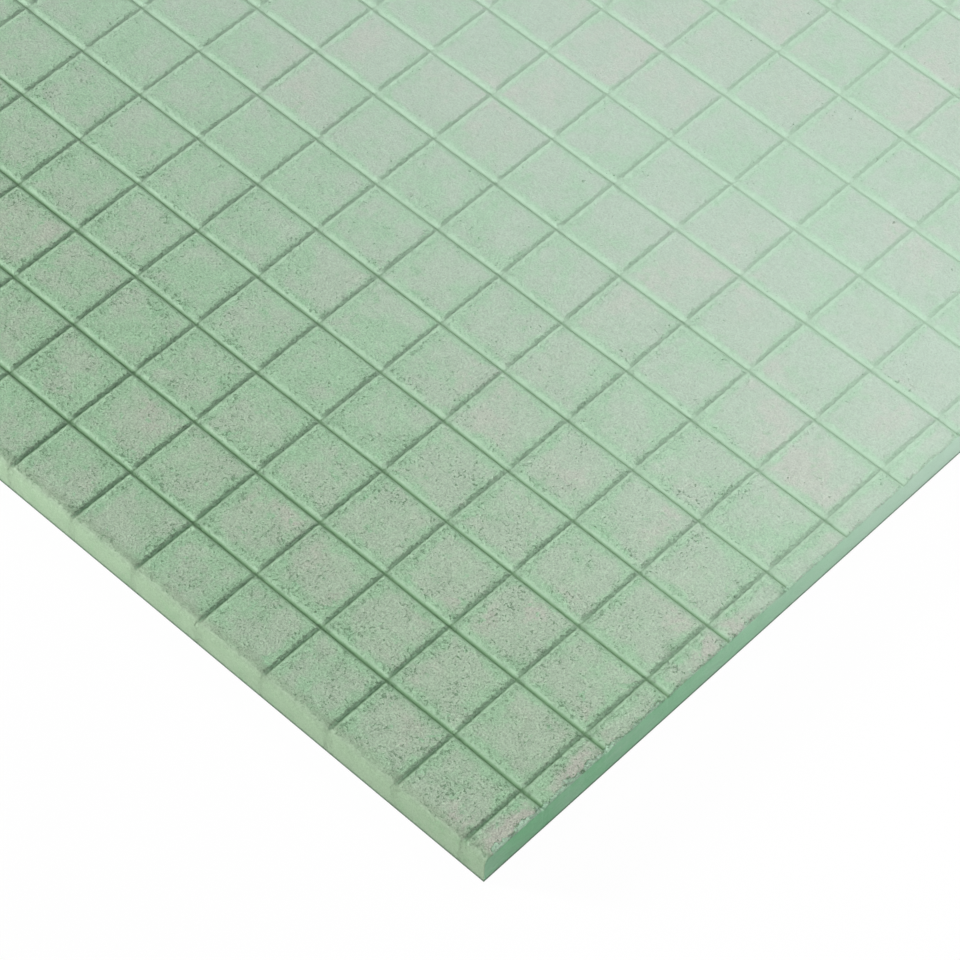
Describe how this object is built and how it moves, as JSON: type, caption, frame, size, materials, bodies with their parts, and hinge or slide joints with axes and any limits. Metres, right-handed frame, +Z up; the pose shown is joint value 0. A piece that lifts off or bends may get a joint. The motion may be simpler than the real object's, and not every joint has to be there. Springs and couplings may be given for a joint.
{
  "type": "fiber cement board",
  "caption": "Flat fibre cement backer sheet with a square grid of shallow V grooves scored into its tile face, rounded long edges and square-cut ends.",
  "frame": {"origin": "middle of the back face, on the floor that the sheet lies on", "axes": "+X along the length and the lengthwise grooves, +Y across the width, +Z up out of the scored tile face"},
  "size_m": [1.524, 0.9144, 0.0107],
  "materials": {
    "fiber_cement": "matt, sanded pale grey-green fibre cement, smooth lighter green in the grooves"
  },
  "bodies": {
    "root": {"board": "fiber_cement"}
  },
  "joints": []
}
